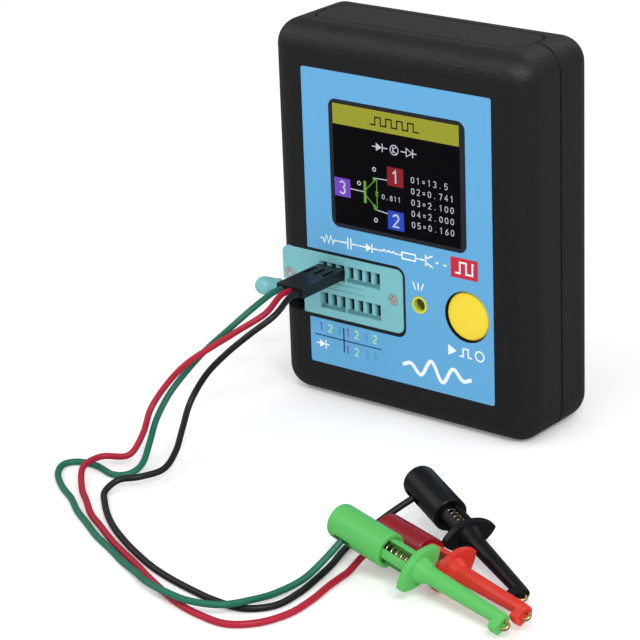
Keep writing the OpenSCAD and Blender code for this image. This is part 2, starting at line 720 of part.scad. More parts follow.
module clip_nose(pose) {
    fx = flange_x;
    on_clip(pose) difference() {
        union() {
            difference() {
                union() {
                    translate([13.0, 0, 0]) rotate([0, 90, 0]) cylinder(r = 2.72, h = fx - 13.5);
                    translate([13.4, 0, 0]) rotate([0, 90, 0]) cylinder(r = 2.98, h = 1.2);
                }
                translate([12, 0, 0]) rotate([0, 90, 0]) cylinder(r = 1.85, h = fx - 12.8);
                box([14.8, -4, -1.05], [fx - 0.8, 4, 1.05]);
                box([14.8, -1.05, -4], [fx - 0.8, 1.05, 4]);
            }
            intersection() {
                translate([fx - 0.8, 0, 4.025]) rotate([0, 90, 0]) cylinder(r = 7.225, h = 1.6);
                translate([fx - 0.8, 0, -4.025]) rotate([0, 90, 0]) cylinder(r = 7.225, h = 1.6);
                translate([fx - 0.8, 0, 0]) rotate([0, 90, 0]) cylinder(r = 5.85, h = 1.6);
            }
            turned_x([[fx, 0], [fx, 2.9], [fx + 1.1, 2.8], [fx + 3.2, 1.95], [fx + 4.2, 1.85],
                [clip_len - 1, 1.4], [clip_len - 0.1, 1.3], [clip_len, 1.2], [clip_len, 0]]);
            intersection() {
                box([clip_len - 1.9, -3.0, -1.25], [clip_len, 0, 1.25]);
                translate([clip_len - 3, -1.4, 0]) rotate([0, 90, 0]) cylinder(r = 1.75, h = 4);
            }
        }
        translate([10, 0, 0]) rotate([0, 90, 0]) cylinder(r = 0.47, h = clip_len);
    }
}

module plug_housing_green() { color(black_c) plug_housing(-21.1); }
module plug_housing_red() { color(black_c) plug_housing(-18.55); }
module plug_housing_black() { color(black_c) plug_housing(-16); }
module plug_pin_green() { color([0.85, 0.75, 0.4]) plug_pin(-21.1); }
module plug_pin_red() { color([0.85, 0.75, 0.4]) plug_pin(-18.55); }
module plug_pin_black() { color([0.85, 0.75, 0.4]) plug_pin(-16); }
module lead_green() { color(wire_green_c) lead(route_green); }
module lead_red() { color(wire_red_c) lead(route_red); }
module lead_black() { color(black_c) lead(route_black); }
module clip_barrel_green() { color(green_c) clip_barrel(pose_green); }
module clip_barrel_red() { color([0.7, 0.05, 0.1]) clip_barrel(pose_red); }
module clip_barrel_black() { color(black_c) clip_barrel(pose_black); }
module clip_hook_green() { color([0.8, 0.65, 0.3]) clip_hook(pose_green); }
module clip_hook_red() { color([0.8, 0.65, 0.3]) clip_hook(pose_red); }
module clip_hook_black() { color([0.8, 0.65, 0.3]) clip_hook(pose_black); }
module clip_spring_green() { color([0.75, 0.72, 0.5]) clip_spring(pose_green); }
module clip_spring_red() { color([0.75, 0.72, 0.5]) clip_spring(pose_red); }
module clip_spring_black() { color([0.75, 0.72, 0.5]) clip_spring(pose_black); }
module clip_nose_green() { color(green_c) clip_nose(pose_green); }
module clip_nose_red() { color(red_c) clip_nose(pose_red); }
module clip_nose_black() { color(black_c) clip_nose(pose_black); }

front_shell();
back_shell();
top_end_panel();
bottom_end_panel();
case_screws();
front_label();
display_window();
display_glass();
display_frame();
display_header();
main_board();
board_screws();
zif_base();
zif_cover();
zif_slide();
zif_contacts();
zif_lever();
zif_lever_knob();
zif_screws();
start_button();
switch_body();
switch_plunger();
ir_ring();
ir_receiver();
battery();
battery_pad();
battery_connector();
battery_leads();
usb_port();
charge_led();
microcontroller();
charger_chip();
crystal();
plug_housing_green();
plug_housing_red();
plug_housing_black();
plug_pin_green();
plug_pin_red();
plug_pin_black();
lead_green();
lead_red();
lead_black();
clip_barrel_green();
clip_barrel_red();
clip_barrel_black();
clip_hook_green();
clip_hook_red();
clip_hook_black();
clip_spring_green();
clip_spring_red();
clip_spring_black();
clip_nose_green();
clip_nose_red();
clip_nose_black();
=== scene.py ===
import json
import math

import bmesh
import bpy
from bpy.props import FloatProperty, FloatVectorProperty, IntProperty, PointerProperty
from mathutils import Matrix, Vector


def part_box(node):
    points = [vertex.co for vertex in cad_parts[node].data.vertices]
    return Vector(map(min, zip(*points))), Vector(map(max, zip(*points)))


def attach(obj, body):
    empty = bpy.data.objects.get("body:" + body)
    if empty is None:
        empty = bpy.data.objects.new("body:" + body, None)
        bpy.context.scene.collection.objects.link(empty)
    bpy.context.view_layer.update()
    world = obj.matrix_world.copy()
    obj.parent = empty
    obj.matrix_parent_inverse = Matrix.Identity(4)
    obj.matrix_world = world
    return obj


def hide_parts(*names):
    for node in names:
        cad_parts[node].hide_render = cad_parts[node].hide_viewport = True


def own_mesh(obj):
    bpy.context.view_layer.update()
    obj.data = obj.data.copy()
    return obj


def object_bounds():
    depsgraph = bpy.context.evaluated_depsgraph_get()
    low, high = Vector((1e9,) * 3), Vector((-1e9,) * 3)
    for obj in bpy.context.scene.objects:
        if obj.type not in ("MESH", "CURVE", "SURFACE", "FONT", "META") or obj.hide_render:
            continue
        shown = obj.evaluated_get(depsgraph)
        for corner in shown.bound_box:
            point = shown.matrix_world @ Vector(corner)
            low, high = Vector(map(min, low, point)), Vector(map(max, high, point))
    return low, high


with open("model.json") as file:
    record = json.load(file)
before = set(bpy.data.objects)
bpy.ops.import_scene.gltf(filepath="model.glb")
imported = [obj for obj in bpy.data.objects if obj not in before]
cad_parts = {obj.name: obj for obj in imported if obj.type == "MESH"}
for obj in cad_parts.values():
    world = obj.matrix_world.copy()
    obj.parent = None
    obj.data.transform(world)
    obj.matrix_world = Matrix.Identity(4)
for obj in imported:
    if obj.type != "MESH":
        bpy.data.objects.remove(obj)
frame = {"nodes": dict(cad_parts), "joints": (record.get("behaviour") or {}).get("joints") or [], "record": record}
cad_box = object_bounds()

bl_info = {
    "name": "Component Tester Looks",
    "version": (1, 0, 0),
    "blender": (4, 5, 0),
    "location": "View3D > Sidebar > Tester",
    "description": "Finishes, printing, display, leads and clips of a pocket component tester",
    "category": "Object",
}

MM = 0.001
COLOURS = ("green", "red", "black")
ASIDE = Vector((0.31, 0.2, 0.93))    # a direction that no tube starts along
INK_GAP = 0.003 * MM                 # from a face to the back of what is printed on it
FLOOR_GAP = 0.02 * MM                # from the floor to a wire that lies on it
FLOAT = "NodeSocketFloat"
JOINTS = {j["name"]: j for j in frame["joints"]}

# Each lead's route in metres, from its plug to the post inside its clip
ROUTES = {
    "green": (
        (-0.0211, -0.0296, 0.0326), (-0.0211, -0.033, 0.0325), (-0.022, -0.039, 0.0305),
        (-0.025, -0.044, 0.0265), (-0.0295, -0.0465, 0.02175), (-0.0335, -0.0485, 0.01675),
        (-0.0355, -0.053, 0.012), (-0.035, -0.0585, 0.00775), (-0.0325, -0.064, 0.0045),
        (-0.03, -0.0695, 0.002), (-0.03025, -0.0735, 0.001), (-0.0335, -0.0755, 0.00075),
        (-0.0395, -0.074, 0.00075), (-0.0445, -0.0745, 0.00075), (-0.0465, -0.0775, 0.00075),
        (-0.044, -0.082, 0.00075), (-0.0385, -0.0865, 0.00075), (-0.0325, -0.09, 0.00075),
        (-0.027, -0.094, 0.00075), (-0.021, -0.0975, 0.00075), (-0.015, -0.101, 0.00075),
        (-0.0085, -0.104, 0.00075), (-0.0025, -0.107, 0.00075), (0.004, -0.11, 0.00125),
        (0.01, -0.1135, 0.00225), (0.0165, -0.1155, 0.00275), (0.0235, -0.116, 0.00275),
        (0.03, -0.11375, 0.00275), (0.03275, -0.1075, 0.002), (0.0335, -0.101, 0.001),
        (0.0355, -0.0945, 0.002), (0.0372, -0.0885, 0.0052), (0.0388, -0.0832, 0.0091),
    ),
    "red": (
        (-0.01855, -0.0296, 0.0326), (-0.01855, -0.033, 0.0325), (-0.0185, -0.0385, 0.03),
        (-0.022, -0.0435, 0.027), (-0.0265, -0.0475, 0.0235), (-0.031, -0.0515, 0.01975),
        (-0.0345, -0.0545, 0.01525), (-0.0365, -0.0585, 0.01), (-0.0345, -0.064, 0.006),
        (-0.0345, -0.069, 0.00275), (-0.0395, -0.0725, 0.0025), (-0.039, -0.079, 0.0025),
        (-0.034, -0.085, 0.001), (-0.029, -0.089, 0.00075), (-0.0235, -0.0935, 0.00075),
        (-0.0175, -0.097, 0.00075), (-0.0115, -0.1005, 0.00075), (-0.0055, -0.1035, 0.00075),
        (0.001, -0.1065, 0.00075), (0.007, -0.1095, 0.00075), (0.0135, -0.1125, 0.00075),
        (0.0195, -0.115, 0.00075), (0.0265, -0.1165, 0.00075), (0.0335, -0.1165, 0.00075),
        (0.0385, -0.1125, 0.00075), (0.041, -0.106, 0.00075), (0.041, -0.099, 0.00075),
        (0.04, -0.092, 0.00075), (0.0395, -0.0855, 0.00075), (0.0395, -0.0805, 0.00225),
        (0.0402, -0.077, 0.0035), (0.0419, -0.0724, 0.004),
    ),
    "black": (
        (-0.016, -0.0296, 0.0326), (-0.016, -0.033, 0.0325), (-0.0155, -0.039, 0.03025),
        (-0.019, -0.044, 0.0265), (-0.023, -0.0475, 0.02225), (-0.027, -0.05, 0.01725),
        (-0.029, -0.0535, 0.0115), (-0.027, -0.059, 0.00725), (-0.0245, -0.0645, 0.00425),
        (-0.0225, -0.071, 0.003), (-0.0245, -0.0765, 0.00275), (-0.028, -0.0795, 0.00225),
        (-0.0285, -0.0835, 0.001), (-0.025, -0.0875, 0.00075), (-0.02, -0.092, 0.00075),
        (-0.0145, -0.096, 0.00075), (-0.0085, -0.0995, 0.00075), (-0.0025, -0.1025, 0.00075),
        (0.0045, -0.1055, 0.00075), (0.011, -0.1075, 0.00075), (0.018, -0.109, 0.00075),
        (0.025, -0.11, 0.00075), (0.032, -0.1095, 0.00075), (0.0365, -0.105, 0.00075),
        (0.037, -0.098, 0.00075), (0.036, -0.091, 0.00075), (0.0345, -0.084, 0.00075),
        (0.0325, -0.077, 0.0009), (0.033, -0.0705, 0.00225), (0.035, -0.0645, 0.00475),
        (0.0384, -0.0572, 0.0079),
    ),
}


# ---- settings

def colour(name, description, default):
    return FloatVectorProperty(
        name=name, description=description, default=default, size=3, subtype="COLOR",
        min=0.0, max=1.0)


def number(name, description, default, **limits):
    return FloatProperty(name=name, description=description, default=default, **limits)


def length(name, description, default):
    return number(name, description, default, min=0.0, unit="LENGTH", precision=5)


class TesterFinish(bpy.types.PropertyGroup):
    """Colours and surface detail of the moulded, printed and metal parts."""

    case: colour("Case", "Moulded case and end panels", (0.0065, 0.0065, 0.0075))
    label: colour("Label", "Printed front film", (0.113, 0.39, 0.685))
    socket: colour("Socket", "Test socket, its slide and lever knob", (0.19, 0.5, 0.545))
    button: colour("Button", "Start button", (0.9, 0.69, 0.035))
    ring: colour("Ring", "Ring round the infrared receiver", (0.6, 0.66, 0.06))
    clip_green: colour("Green clip", "Green hook clip", (0.1, 0.5, 0.11))
    clip_red: colour("Red nose", "Nose of the red hook clip", (0.68, 0.03, 0.016))
    barrel_red: colour("Red barrel", "Barrel of the red hook clip", (0.27, 0.004, 0.012))
    clip_black: colour("Black clip", "Black hook clip", (0.005, 0.005, 0.0065))
    wire_green: colour("Green wire", "Green insulation", (0.008, 0.15, 0.09))
    wire_red: colour("Red wire", "Red insulation", (0.42, 0.006, 0.03))
    wire_black: colour("Black wire", "Black insulation", (0.008, 0.008, 0.009))
    grain_size: length("Grain size", "Width of one bump of the case's moulded grain", 0.0006)
    wear: number("Edge wear", "How strongly edges are rubbed", 0.35, min=0.0, max=1.0,
                 subtype="FACTOR")
    dust: number("Dust", "How much dust lies on upward faces", 0.035, min=0.0, max=1.0,
                 subtype="FACTOR")


class TesterLeads(bpy.types.PropertyGroup):
    """Sizes of the leads and of the springs in their clips."""

    wire: length("Wire diameter", "Outer diameter of the insulation", 0.00145)
    hidden: length("Hidden end", "Length of wire inside a plug housing", 0.0036)
    sides: IntProperty(name="Sides", description="Faces round a wire", default=20, min=8, max=48)
    spring: length("Spring radius", "Radius at the middle of the spring's wire", 0.00135)
    spring_wire: length("Spring wire", "Diameter of the spring's wire", 0.0004)
    turns: number("Turns", "Turns of a clip's spring", 6.5, min=3.0, max=12.0)
    collar: length("Collar", "From a clip's rear to the fixed end of its spring", 0.01335)
    spring_length: length("Spring length", "Length of a clip's spring at rest", 0.009)
    travel: length("Travel", "How far a clip's nose slides back", 0.006)


class TesterPrint(bpy.types.PropertyGroup):
    """Inks and the picture on the display."""

    ink: length("Ink thickness", "How far the printing stands proud", 0.00001)
    white: colour("White ink", "White printing on the label", (0.84, 0.9, 0.95))
    navy: colour("Navy ink", "Dark lines of the contact map", (0.012, 0.05, 0.16))
    badge: colour("Badge", "Red box on the label", (0.56, 0.016, 0.04))
    first: colour("First contact", "Digit 1 of the contact map", (0.11, 0.09, 0.4))
    second: colour("Second contact", "Digit 2 of the contact map", (0.42, 0.78, 0.36))
    third: colour("Third contact", "Digit 3 of the contact map", (0.1, 0.36, 0.46))
    bar: colour("Bar", "Title bar of the display", (0.37, 0.37, 0.03))
    glow: number("Glow", "Brightness of the display", 0.62, min=0.0, max=4.0)
    pixel: length("Pixel", "Pitch of the display's pixels", 0.00022)


class TesterStage(bpy.types.PropertyGroup):
    """Floor, light and camera."""

    floor: colour("Floor", "Pale studio floor", (0.97, 0.97, 0.97))
    heading: number("Heading", "Camera heading round the part", math.radians(38.85),
                    subtype="ANGLE")
    elevation: number("Elevation", "Camera height above the horizon", math.radians(20.79),
                      subtype="ANGLE")
    roll: number("Roll", "Tilt of the camera about its own axis", math.radians(-2.19),
                 subtype="ANGLE")
    place: FloatVectorProperty(name="Place", description="Camera position", size=3,
                               default=(0.345012, -0.470425, 0.242247), subtype="TRANSLATION",
                               unit="LENGTH")
    lens: number("Lens", "Focal length in millimetres on a 36 mm sensor", 151.5, min=20.0,
                 max=300.0)
    sky: number("Sky", "Strength of the light from all round", 0.53, min=0.0, max=3.0)
    sheen: number("Sheen", "Strength of the sky in reflections", 0.27, min=0.0, max=3.0)
    key: number("Key", "Power of the large soft light in front", 2.6, min=0.0, unit="POWER")
    glint: number("Glint", "Power of the two small lights", 2.0, min=0.0, unit="POWER")
    fill: number("Fill", "Power of the soft lights at the sides", 1.35, min=0.0, unit="POWER")


GROUPS = {"tester_finish": TesterFinish, "tester_leads": TesterLeads,
          "tester_print": TesterPrint, "tester_stage": TesterStage}


# ---- shader node groups

def new_group(name, inputs, outputs):
    """A shader node group with float or colour inputs, and its nodes."""
    group = bpy.data.node_groups.new(name, "ShaderNodeTree")
    for label, kind, default in inputs:
        socket = group.interface.new_socket(label, in_out="INPUT", socket_type=kind)
        socket.default_value = default
    for label, kind in outputs:
        group.interface.new_socket(label, in_out="OUTPUT", socket_type=kind)
    entry = group.nodes.new("NodeGroupInput")
    leave = group.nodes.new("NodeGroupOutput")
    return group, entry.outputs, leave.inputs


def set_sockets(node, values):
    for label, value in values.items():
        node.inputs[label].default_value = value


def math_node(tree, operation, a, b=0.0, c=None, clamp=False):
    node = tree.nodes.new("ShaderNodeMath")
    node.operation = operation
    node.use_clamp = clamp
    for socket, value in zip(node.inputs, (a, b, c)):
        if isinstance(value, bpy.types.NodeSocket):
            tree.links.new(value, socket)
        elif value is not None:
            socket.default_value = value
    return node.outputs[0]


def mix_colour(tree, factor, a, b, blend="MIX"):
    node = tree.nodes.new("ShaderNodeMix")
    node.data_type = "RGBA"
    node.blend_type = blend
    node.clamp_factor = True
    for socket, value in ((node.inputs[0], factor), (node.inputs[6], a), (node.inputs[7], b)):
        if isinstance(value, bpy.types.NodeSocket):
            tree.links.new(value, socket)
        else:
            socket.default_value = value
    return node.outputs[2]


def levels(tree, value, gain, lift):
    """The value times gain plus lift, held between 0 and 1."""
    return math_node(tree, "MULTIPLY_ADD", value, gain, lift, clamp=True)


def noise(tree, scale, detail=2.0, roughness=0.5):
    """Noise on the part's own coordinates, in metres."""
    place = tree.nodes.new("ShaderNodeTexCoord")
    node = tree.nodes.new("ShaderNodeTexNoise")
    set_sockets(node, {"Detail": detail, "Roughness": roughness})
    tree.links.new(place.outputs["Object"], node.inputs["Vector"])
    if isinstance(scale, bpy.types.NodeSocket):
        tree.links.new(scale, node.inputs["Scale"])
    else:
        node.inputs["Scale"].default_value = scale
    return node.outputs["Fac"]


def grain_group():
    """Moulded grain: a height for bump, and a mask of its hollows."""
    group, given, out = new_group(
        "moulded_grain",
        [("Size", FLOAT, 0.0002), ("Unevenness", FLOAT, 0.5)],
        [("Height", FLOAT), ("Hollows", FLOAT)])
    scale = math_node(group, "DIVIDE", 1.0, given["Size"])
    fine = noise(group, scale, detail=3.0, roughness=0.6)
    broad_share = 0.13
    broad = noise(group, math_node(group, "MULTIPLY", scale, broad_share))
    height = math_node(group, "MULTIPLY_ADD", broad, given["Unevenness"], fine)
    group.links.new(height, out["Height"])
    group.links.new(levels(group, fine, gain=-2.0, lift=1.12), out["Hollows"])
    return group


def edge_group():
    """Softened edges: a normal rounded over a radius, and a mask of the rubbed edges."""
    group, given, out = new_group(
        "rubbed_edges",
        [("Radius", FLOAT, 0.0001), ("Amount", FLOAT, 0.3)],
        [("Normal", "NodeSocketVector"), ("Mask", FLOAT)])
    bevel = group.nodes.new("ShaderNodeBevel")
    bevel.samples = 4
    group.links.new(given["Radius"], bevel.inputs["Radius"])
    group.links.new(bevel.outputs[0], out["Normal"])
    true = group.nodes.new("ShaderNodeNewGeometry")
    dot = group.nodes.new("ShaderNodeVectorMath")
    dot.operation = "DOT_PRODUCT"
    group.links.new(bevel.outputs[0], dot.inputs[0])
    group.links.new(true.outputs["Normal"], dot.inputs[1])
    turned = math_node(group, "SUBTRACT", 1.0, dot.outputs["Value"], clamp=True)
    patchy = levels(group, noise(group, 900.0, detail=3.0), gain=1.6, lift=-0.3)
    strong = levels(group, turned, gain=4.0, lift=0.0)
    mask = math_node(group, "MULTIPLY", math_node(group, "MULTIPLY", strong, patchy),
                     given["Amount"], clamp=True)
    group.links.new(mask, out["Mask"])
    return group


def dust_group():
    """Dust: a mask of specks that lie on faces turned upwards, and a few elsewhere."""
    group, given, out = new_group(
        "dust", [("Amount", FLOAT, 0.1)], [("Mask", FLOAT)])
    true = group.nodes.new("ShaderNodeNewGeometry")
    split = group.nodes.new("ShaderNodeSeparateXYZ")
    group.links.new(true.outputs["Normal"], split.inputs[0])
    upward = levels(group, split.outputs["Z"], gain=0.8, lift=0.2)
    specks = levels(group, noise(group, 5200.0, detail=1.0), gain=9.0, lift=-5.9)
    film = levels(group, noise(group, 160.0, detail=4.0), gain=1.1, lift=-0.35)
    both = levels(group, film, gain=0.35, lift=specks)
    mask = math_node(group, "MULTIPLY", math_node(group, "MULTIPLY", both, upward),
                     given["Amount"], clamp=True)
    group.links.new(mask, out["Mask"])
    return group


def mottle_group():
    """Slight unevenness of a moulded or printed colour."""
    group, given, out = new_group(
        "mottle",
        [("Color", "NodeSocketColor", (0.5, 0.5, 0.5, 1.0)), ("Amount", FLOAT, 0.1),
         ("Scale", FLOAT, 220.0)],
        [("Color", "NodeSocketColor"), ("Value", FLOAT)])
    spread = math_node(group, "SUBTRACT", noise(group, given["Scale"], detail=4.0), 0.5)
    value = math_node(group, "MULTIPLY_ADD", spread, given["Amount"], 1.0)
    shade = group.nodes.new("ShaderNodeCombineColor")
    for channel in shade.inputs:
        group.links.new(value, channel)
    group.links.new(mix_colour(group, 1.0, given["Color"], shade.outputs[0], "MULTIPLY"),
                    out["Color"])
    group.links.new(value, out["Value"])
    return group


def pixel_group():
    """The display's pixels: a mask that is darker between them."""
    group, given, out = new_group(
        "pixels", [("Pitch", FLOAT, 0.0002)], [("Mask", FLOAT)])
    place = group.nodes.new("ShaderNodeTexCoord")
    split = group.nodes.new("ShaderNodeSeparateXYZ")
    group.links.new(place.outputs["Object"], split.inputs[0])
    gaps = []
    for axis in ("X", "Z"):
        cell = math_node(group, "FRACT",
                         math_node(group, "DIVIDE", split.outputs[axis], given["Pitch"]))
        away = math_node(group, "ABSOLUTE", math_node(group, "SUBTRACT", cell, 0.5))
        gaps.append(levels(group, away, gain=-5.0, lift=2.6))
    lit = math_node(group, "MULTIPLY", *gaps)
    group.links.new(levels(group, lit, gain=0.4, lift=0.6), out["Mask"])
    return group


EFFECTS = {}


def make_effects():
    for name, build in (("grain", grain_group), ("edges", edge_group), ("dust", dust_group),
                        ("mottle", mottle_group), ("pixels", pixel_group)):
        EFFECTS[name] = build()


def placed(tree, effect, **values):
    node = tree.nodes.new("ShaderNodeGroup")
    node.node_tree = EFFECTS[effect]
    set_sockets(node, values)
    return node


# ---- materials

MATERIALS = {}
RUB_GAIN, RUB_LIFT = 1.8, 0.03    # a rubbed edge's colour from the plastic's own
GLOSS_SWING = 0.35          # how far uneven colour changes the roughness
HOLLOW_ROUGH = 0.12         # how much rougher the hollows of the grain are
DUST_COLOUR = (0.42, 0.41, 0.39, 1.0)
SCREEN_DIM = 0.65           # how far a lit area's own colour falls to UNLIT
UNLIT = (0.004, 0.004, 0.005, 1.0)
SLIDE_PAINTED_SHADE = 0.72          # painted shade: the slide's colour is the socket's own darkened by this factor
# Painted shade in the socket's openings: its colour, and the depths and reach of its mask
PAINTED_SHADE_COLOUR = (0.006, 0.03, 0.032, 1.0)
OPENING_UNSHADED = 0.45 * MM     # depth to which the socket's openings get no painted shade
OPENING_SHADE_FADE = 0.75 * MM    # depth over which the painted shade then deepens
OPENING_SPAN = 1.2 * MM     # how far the openings reach past the contacts

# Plain metals and plastics: colour, roughness, size of the grain and its depth
METALS = {
    "screw_black": ((0.06, 0.06, 0.065), 0.35, 0.0003, 0.000003),
    "contact_metal": ((0.62, 0.58, 0.48), 0.3, 0.0006, 0.000004),
    "lever_steel": ((0.55, 0.55, 0.55), 0.24, 0.0004, 0.000003),
    "battery_foil": ((0.6, 0.62, 0.64), 0.3, 0.003, 0.00006),
    "port_steel": ((0.66, 0.66, 0.68), 0.2, 0.001, 0.000002),
    "pin_gold": ((0.72, 0.5, 0.2), 0.24, 0.0006, 0.000003),
    "spring_metal": ((0.68, 0.62, 0.42), 0.26, 0.0005, 0.000003),
}
PLASTICS = {
    "lcd": ((0.01, 0.01, 0.012), 0.15, 0.002, 0.000001),
    "white_plastic": ((0.78, 0.78, 0.75), 0.45, 0.0004, 0.000006),
    "black_plastic": ((0.02, 0.02, 0.021), 0.5, 0.0003, 0.000008),
    "ir_lens": ((0.055, 0.042, 0.022), 0.3, 0.001, 0.000001),
    "foam": ((0.03, 0.03, 0.03), 0.85, 0.0004, 0.00004),
    "chip_black": ((0.02, 0.02, 0.02), 0.55, 0.0003, 0.000006),
}


def shader(name):
    """A new material's node tree and its Principled shader."""
    material = bpy.data.materials.new(name)
    material.use_nodes = True
    MATERIALS[name] = material
    return material.node_tree, material.node_tree.nodes["Principled BSDF"]


def finish(name, base, rough, grain=0.0002, depth=0.000004, edge=0.00012, wear=0.3, dust=0.0,
           mottle=0.12, patches=220.0, metallic=0.0, specular=0.5, coat=0.0, rub=None):
    """A moulded, printed or metal surface with grain, rubbed edges, dust and uneven colour."""
    tree, bsdf = shader(name)
    link = tree.links.new
    shade = placed(tree, "mottle", Color=(*base, 1.0), Amount=mottle, Scale=patches)
    edges = placed(tree, "edges", Radius=edge, Amount=wear)
    texture = placed(tree, "grain", Size=grain, Unevenness=0.5)
    rubbed = rub or tuple(min(1.0, c * RUB_GAIN + RUB_LIFT) for c in base)
    worn = mix_colour(tree, edges.outputs["Mask"], shade.outputs["Color"], (*rubbed, 1.0))
    if dust:
        motes = placed(tree, "dust", Amount=dust)
        worn = mix_colour(tree, motes.outputs["Mask"], worn, DUST_COLOUR)
    link(worn, bsdf.inputs["Base Color"])
    uneven = math_node(tree, "MULTIPLY_ADD", shade.outputs["Value"], GLOSS_SWING,
                       rough - GLOSS_SWING)
    pitted = levels(tree, texture.outputs["Hollows"], gain=HOLLOW_ROUGH, lift=uneven)
    link(pitted, bsdf.inputs["Roughness"])
    bump = tree.nodes.new("ShaderNodeBump")
    set_sockets(bump, {"Strength": 1.0, "Distance": depth})
    link(texture.outputs["Height"], bump.inputs["Height"])
    link(edges.outputs["Normal"], bump.inputs["Normal"])
    link(bump.outputs["Normal"], bsdf.inputs["Normal"])
    set_sockets(bsdf, {"Metallic": metallic, "Specular IOR Level": specular,
                       "Coat Weight": coat, "Coat Roughness": 0.1})


def screen_finish(name, base, glow, pitch):
    """A lit area of the display, with its pixels."""
    tree, bsdf = shader(name)
    pixels = placed(tree, "pixels", Pitch=pitch)
    shade = placed(tree, "mottle", Color=(*base, 1.0), Amount=0.1, Scale=120.0)
    lit = mix_colour(tree, pixels.outputs["Mask"], (0.0, 0.0, 0.0, 1.0), shade.outputs["Color"])
    dim = mix_colour(tree, SCREEN_DIM, lit, UNLIT)
    tree.links.new(dim, bsdf.inputs["Base Color"])
    tree.links.new(lit, bsdf.inputs["Emission Color"])
    set_sockets(bsdf, {"Emission Strength": glow, "Roughness": 0.25,
                       "Specular IOR Level": 0.15})


def make_materials(context):
    """Every material of the part, named for its record slot where it has one."""
    look, art = context.scene.tester_finish, context.scene.tester_print
    make_effects()
    for name, numbers in METALS.items():
        finish(name, *numbers, metallic=1.0)
    for name, numbers in PLASTICS.items():
        finish(name, *numbers)
    finish("case_black", look.case, rough=0.4, grain=look.grain_size, depth=0.0002, edge=0.0003,
           wear=look.wear, dust=look.dust, mottle=0.25, patches=90.0, specular=0.46,
           rub=(0.035, 0.035, 0.04))
    finish("label_blue", look.label, rough=0.42, grain=0.0006, depth=0.000002, edge=0.00006,
           wear=0.25, dust=0.04, mottle=0.05, patches=60.0, specular=0.35, rub=(0.4, 0.68, 0.88))
    finish("window_dark", (0.016, 0.018, 0.024), rough=0.16, grain=0.002, depth=0.000001,
           wear=0.2, dust=0.05, mottle=0.1, patches=80.0, specular=0.25)
    finish("board_green", (0.02, 0.15, 0.06), rough=0.3, grain=0.0012, depth=0.000006, edge=0.0001,
           wear=0.2, mottle=0.3, patches=500.0)
    finish("screw_steel", (0.85, 0.83, 0.8), rough=0.36, grain=0.0005, depth=0.000003,
           edge=0.00008, wear=0.2, mottle=0.2, patches=2200.0, metallic=0.8)
    finish("socket_mint", look.socket, rough=0.36, grain=0.0005, depth=0.000005, edge=0.00014,
           dust=0.05, mottle=0.1, patches=150.0, specular=0.4, rub=(0.45, 0.78, 0.76))
    # Painted shade: the slide is a darker copy of the socket's mint
    finish("slide_mint", tuple(c * SLIDE_PAINTED_SHADE for c in look.socket), rough=0.4, grain=0.0005,
           depth=0.000005, edge=0.0001, dust=0.04)
    finish("knob_mint", look.socket, rough=0.34, grain=0.0005, depth=0.000005, edge=0.0002,
           wear=0.25, dust=0.06, mottle=0.1, patches=300.0)
    finish("button_yellow", look.button, rough=0.38, grain=0.0006, depth=0.000004, edge=0.0002,
           wear=0.2, dust=0.03, mottle=0.05, patches=150.0, specular=0.4)
    finish("ring_yellow", look.ring, rough=0.4, grain=0.0004, depth=0.000003)
    finish("led_red", (0.7, 0.06, 0.04), rough=0.2, grain=0.001, depth=0.000001, coat=0.6)
    finish("plug_black", (0.009, 0.0095, 0.012), rough=0.3, grain=0.0004, depth=0.000005,
           edge=0.00018, dust=0.05, specular=0.3)
    for tone in COLOURS:
        finish("wire_" + tone, getattr(look, "wire_" + tone), rough=0.38, grain=0.0007,
               depth=0.00001, edge=0.00005, wear=0.1, dust=0.05, mottle=0.16, patches=420.0,
               specular=0.4)
    for name, gloss, shine in (("clip_green", 0.32, 0.5), ("clip_red", 0.32, 0.45),
                               ("barrel_red", 0.3, 0.35), ("clip_black", 0.3, 0.2)):
        finish(name, getattr(look, name), rough=gloss, grain=0.0009, depth=0.000002, edge=0.0002,
               wear=look.wear, dust=look.dust, mottle=0.06, patches=180.0, specular=shine)
    for name in ("white", "navy", "badge", "first", "second", "third"):
        finish("ink_" + name, getattr(art, name), rough=0.5, grain=0.0004, depth=0.000003,
               edge=0.00002, wear=0.0, patches=1500.0, specular=0.3)
    finish("screen_off", (0.0024, 0.0024, 0.0036), rough=0.14, grain=0.002, depth=0.000001,
           edge=0.0001, wear=0.0, specular=0.06)
    for name, lit in (("bar", art.bar), ("white", (0.62, 0.64, 0.72)),
                      ("green", (0.16, 0.42, 0.04)), ("violet", (0.2, 0.07, 0.58)),
                      ("crimson", (0.28, 0.012, 0.022)), ("blue", (0.022, 0.075, 0.58)),
                      ("dark", (0.03, 0.03, 0.006))):
        screen_finish("screen_" + name, lit, 0.0 if name == "dark" else art.glow, art.pixel)


